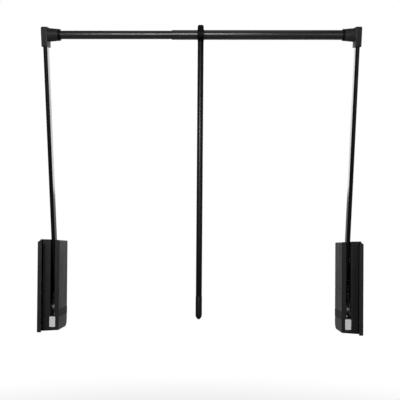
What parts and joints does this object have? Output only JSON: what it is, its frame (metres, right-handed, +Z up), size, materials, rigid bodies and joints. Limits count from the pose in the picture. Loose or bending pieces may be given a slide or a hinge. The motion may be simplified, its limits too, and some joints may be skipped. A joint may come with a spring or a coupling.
{
  "type": "pull down closet rod",
  "caption": "Wardrobe lift: a telescoping hanging rail on two sprung arms that swing out and down from housings on the side panels, with a long pull handle.",
  "frame": {"origin": "where the swing axis meets the face of the wardrobe's left side panel", "axes": "+X to the right side panel, +Y into the wardrobe, +Z up"},
  "size_m": [0.9, 0.2287, 0.8315],
  "materials": {
    "base_plastic": "fine moulded grain",
    "cover_plastic": "fine moulded grain",
    "elbow_plastic": "satin moulded",
    "handle_plastic": "satin moulded",
    "black_tube": "satin powder coat",
    "handle_tube": "satin powder coat",
    "bright_steel": "zinc plated",
    "zinc_plated_steel": "zinc plated, pressed",
    "spring_steel": "oiled",
    "cast_zinc": "die cast",
    "white_acetal": "moulded",
    "grey_rubber": "soft, light grey",
    "black_rubber": "soft, black"
  },
  "bodies": {
    "left_housing": {"left_base_plate": "base_plastic", "left_mount_sleeves": "bright_steel", "left_cover": "cover_plastic", "left_cover_screws": "bright_steel", "left_chassis": "zinc_plated_steel", "left_chassis_screws": "bright_steel", "left_axle": "bright_steel", "left_axle_clip": "spring_steel", "left_anchor_pin": "bright_steel", "left_rack_guide": "white_acetal", "left_damper_cylinder": "zinc_plated_steel", "left_spring_seat": "white_acetal", "left_spring": "spring_steel", "left_bumper": "grey_rubber", "left_rest_pad": "black_rubber"},
    "left_rack_slide": {"left_rack": "zinc_plated_steel", "left_damper_rod": "bright_steel"},
    "left_arm": {"left_arm_foot": "cast_zinc", "left_axle_bush": "white_acetal", "left_arm_tube": "black_tube", "left_foot_pins": "bright_steel", "left_elbow": "elbow_plastic", "left_elbow_ring": "black_rubber", "left_elbow_screw": "bright_steel", "inner_tube": "black_tube", "inner_tube_glide": "white_acetal"},
    "right_housing": {"right_base_plate": "base_plastic", "right_mount_sleeves": "bright_steel", "right_cover": "cover_plastic", "right_cover_screws": "bright_steel", "right_chassis": "zinc_plated_steel", "right_chassis_screws": "bright_steel", "right_axle": "bright_steel", "right_axle_clip": "spring_steel", "right_anchor_pin": "bright_steel", "right_rack_guide": "white_acetal", "right_damper_cylinder": "zinc_plated_steel", "right_spring_seat": "white_acetal", "right_spring": "spring_steel", "right_bumper": "grey_rubber", "right_rest_pad": "black_rubber"},
    "right_rack_slide": {"right_rack": "zinc_plated_steel", "right_damper_rod": "bright_steel"},
    "right_arm": {"right_arm_foot": "cast_zinc", "right_axle_bush": "white_acetal", "right_arm_tube": "black_tube", "right_foot_pins": "bright_steel", "right_elbow": "elbow_plastic", "right_elbow_ring": "black_rubber", "right_elbow_screw": "bright_steel", "outer_tube": "black_tube"},
    "sleeve": {"handle_sleeve": "handle_plastic"},
    "handle": {"handle_eye": "handle_plastic", "handle_rod": "handle_tube", "handle_pin": "bright_steel", "handle_tip": "handle_plastic"}
  },
  "joints": [
    {"name": "swing", "type": "hinge", "parent": "left_housing", "child": "left_arm", "pos_m": [0, 0, 0], "axis": [1, 0, 0], "range_deg": [0, 83], "stiffness_Nm_per_rad": 13, "springref_deg": -52.71},
    {"name": "width_adjust", "type": "slide", "parent": "left_arm", "child": "right_arm", "axis": [1, 0, 0], "range_m": [-0.07, 0.25]},
    {"name": "right_pivot", "type": "hinge", "parent": "right_arm", "child": "right_housing", "pos_m": [0.9, 0, 0], "axis": [1, 0, 0], "range_deg": [-83, 0]},
    {"name": "left_rack_travel", "type": "slide", "parent": "left_housing", "child": "left_rack_slide", "axis": [0, 0, 1], "range_m": [0, 0.0326], "deforming": ["left_spring"]},
    {"name": "right_rack_travel", "type": "slide", "parent": "right_housing", "child": "right_rack_slide", "axis": [0, 0, 1], "range_m": [0, 0.0326], "deforming": ["right_spring"]},
    {"name": "handle_shift", "type": "slide", "parent": "right_arm", "child": "sleeve", "axis": [1, 0, 0], "range_m": [-0.06, 0.35]},
    {"name": "handle_turn", "type": "hinge", "parent": "sleeve", "child": "handle", "pos_m": [0.45, -0.15801, 0.74339], "axis": [1, 0, 0], "continuous": true}
  ],
  "couplings": [
    {"joint": "right_pivot", "follows": "swing", "ratio": -1},
    {"joint": "left_rack_travel", "follows": "swing", "m_per_rad": 0.0225},
    {"joint": "right_rack_travel", "follows": "swing", "m_per_rad": 0.0225}
  ]
}
